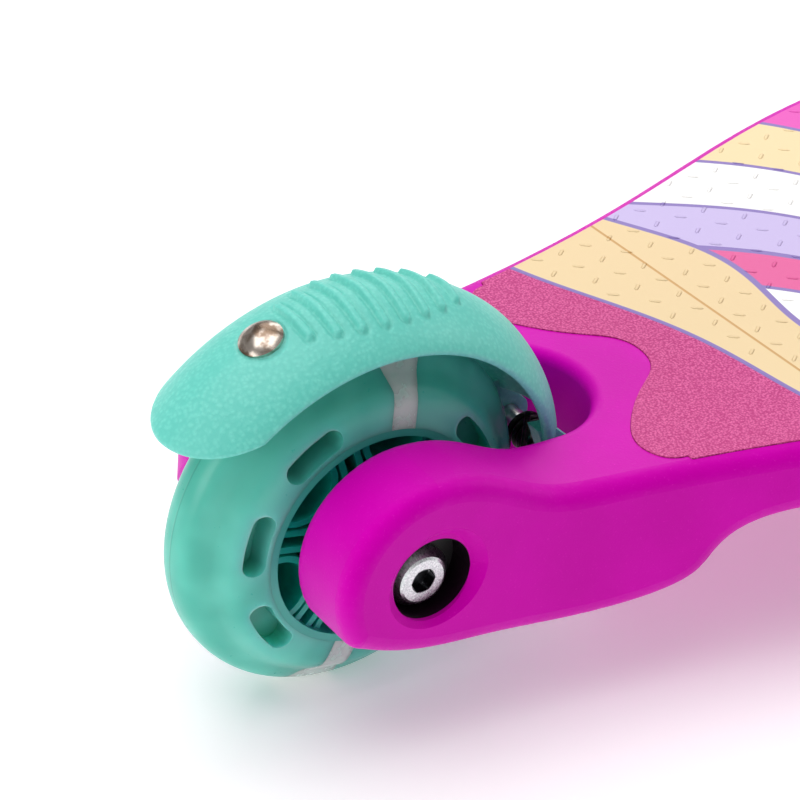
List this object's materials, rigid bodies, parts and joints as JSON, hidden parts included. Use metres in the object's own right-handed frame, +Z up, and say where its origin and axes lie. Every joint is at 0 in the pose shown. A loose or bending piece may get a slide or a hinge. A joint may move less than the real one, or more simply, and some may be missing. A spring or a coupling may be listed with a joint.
{
  "type": "kick scooter",
  "caption": "Child's three-wheeled lean-to-steer kick scooter with a rear mudguard brake, light-up wheels and a height-adjustable handlebar.",
  "frame": {"origin": "middle of the scooter's bounding box, on the ground it stands on", "axes": "+X the riding direction, +Y the rider's left, +Z up"},
  "size_m": [0.5583, 0.2654, 0.7043],
  "materials": {
    "magenta_plastic": "glossy, faint moulding texture",
    "printed_mat": "sand-textured pink film with a printed part",
    "zinc_steel": "bright zinc plated",
    "black_plastic": "moulded, fine grain",
    "spring_steel": "blackened wire",
    "satin_aluminium": "satin anodised",
    "polished_aluminium": "bright anodised",
    "cast_lever": "tumbled casting",
    "mint_plastic": "leather-like grain",
    "mint_rubber": "soft ribbed grip",
    "polished_rivet": "polished, a little worn",
    "elastomer": "cast elastomer",
    "teal_core": "translucent moulding",
    "teal_tyre": "translucent cast polyurethane",
    "clear_tyre": "clear cast polyurethane",
    "light_unit": "soldered light unit",
    "bearing_steel": "ground ring with a shield"
  },
  "bodies": {
    "deck": {"deck": "magenta_plastic", "deck_mat": "printed_mat", "rear_axle_bolt": "zinc_steel", "rear_axle_sleeve": "zinc_steel", "rear_bush_left": "black_plastic", "rear_bush_right": "black_plastic", "rear_spacer": "zinc_steel", "brake_pivot_pin": "zinc_steel", "brake_spring": "spring_steel", "head_housing": "magenta_plastic", "lean_bolt": "zinc_steel", "lean_nut": "zinc_steel", "drive_pin": "zinc_steel", "head_screw_left": "zinc_steel", "head_screw_right": "zinc_steel", "stem_tube": "satin_aluminium", "clamp_collar": "black_plastic", "clamp_bolt": "zinc_steel", "clamp_nut": "zinc_steel"},
    "brake": {"brake_guard": "mint_plastic", "brake_plate": "zinc_steel", "brake_rivet": "polished_rivet"},
    "truck": {"truck_beam": "black_plastic", "kingpin_left": "zinc_steel", "kingpin_right": "zinc_steel", "return_pad_left": "elastomer", "return_pad_right": "elastomer"},
    "knuckle_left": {"knuckle_left": "black_plastic", "front_bolt_left": "zinc_steel"},
    "knuckle_right": {"knuckle_right": "black_plastic", "front_bolt_right": "zinc_steel"},
    "tie_rod": {"tie_rod": "black_plastic"},
    "bar": {"bar_tube": "polished_aluminium", "handlebar": "satin_aluminium", "bar_joint": "magenta_plastic", "grip_left": "mint_rubber", "grip_right": "mint_rubber"},
    "clamp_lever": {"clamp_lever": "cast_lever"},
    "stem_button": {"stem_button": "mint_plastic"},
    "rear_wheel": {"rear_wheel_core": "teal_core", "rear_wheel_tyre": "teal_tyre", "rear_wheel_windows": "clear_tyre", "rear_wheel_lights": "light_unit", "rear_wheel_bearing_left": "bearing_steel", "rear_wheel_bearing_right": "bearing_steel"},
    "left_wheel": {"left_wheel_core": "teal_core", "left_wheel_tyre": "teal_tyre", "left_wheel_windows": "clear_tyre", "left_wheel_lights": "light_unit", "left_wheel_bearing_left": "bearing_steel", "left_wheel_bearing_right": "bearing_steel"},
    "right_wheel": {"right_wheel_core": "teal_core", "right_wheel_tyre": "teal_tyre", "right_wheel_windows": "clear_tyre", "right_wheel_lights": "light_unit", "right_wheel_bearing_left": "bearing_steel", "right_wheel_bearing_right": "bearing_steel"}
  },
  "joints": [
    {"name": "rear_wheel_spin", "type": "hinge", "parent": "deck", "child": "rear_wheel", "pos_m": [-0.23575, 0, 0.04], "axis": [0, 1, 0], "continuous": true},
    {"name": "brake_press", "type": "hinge", "parent": "deck", "child": "brake", "pos_m": [-0.18875, 0, 0.042], "axis": [0, -1, 0], "range_deg": [0, 5.2], "stiffness_Nm_per_rad": 4, "springref_deg": -8.59, "deforming": ["brake_spring"]},
    {"name": "lean", "type": "hinge", "parent": "deck", "child": "truck", "pos_m": [0.21925, 0, 0.066], "axis": [1, 0, 0], "range_deg": [-12, 12], "stiffness_Nm_per_rad": 60, "deforming": ["return_pad_left", "return_pad_right"]},
    {"name": "steer_left", "type": "hinge", "parent": "truck", "child": "knuckle_left", "pos_m": [0.21925, 0.078, 0.06], "axis": [0, 0, 1], "range_deg": [-12.1, 12.1]},
    {"name": "steer_right", "type": "hinge", "parent": "truck", "child": "knuckle_right", "pos_m": [0.21925, -0.078, 0.06], "axis": [0, 0, 1], "range_deg": [-12.1, 12.1]},
    {"name": "tie_rod_slide", "type": "slide", "parent": "truck", "child": "tie_rod", "axis": [0, 1, 0], "range_m": [-0.00465, 0.00465]},
    {"name": "left_wheel_spin", "type": "hinge", "parent": "knuckle_left", "child": "left_wheel", "pos_m": [0.21925, 0.115, 0.06], "axis": [0, 1, 0], "continuous": true},
    {"name": "right_wheel_spin", "type": "hinge", "parent": "knuckle_right", "child": "right_wheel", "pos_m": [0.21925, -0.115, 0.06], "axis": [0, 1, 0], "continuous": true},
    {"name": "bar_height", "type": "slide", "parent": "deck", "child": "bar", "axis": [-0.1392, 0, 0.9903], "range_m": [-0.1, 0.1]},
    {"name": "clamp_lever_open", "type": "hinge", "parent": "deck", "child": "clamp_lever", "pos_m": [0.14337, 0.0153, 0.41203], "axis": [-0.1392, 0, 0.9903], "range_deg": [0, 110]},
    {"name": "stem_button_press", "type": "slide", "parent": "deck", "child": "stem_button", "axis": [-0.9903, 0, -0.1392], "range_m": [0, 0.0022], "stiffness_N_per_m": 500, "springref_m": -0.003}
  ],
  "couplings": [
    {"joint": "steer_left", "follows": "lean", "ratio": 1},
    {"joint": "steer_right", "follows": "lean", "ratio": 1},
    {"joint": "tie_rod_slide", "follows": "lean", "m_per_rad": -0.022}
  ]
}
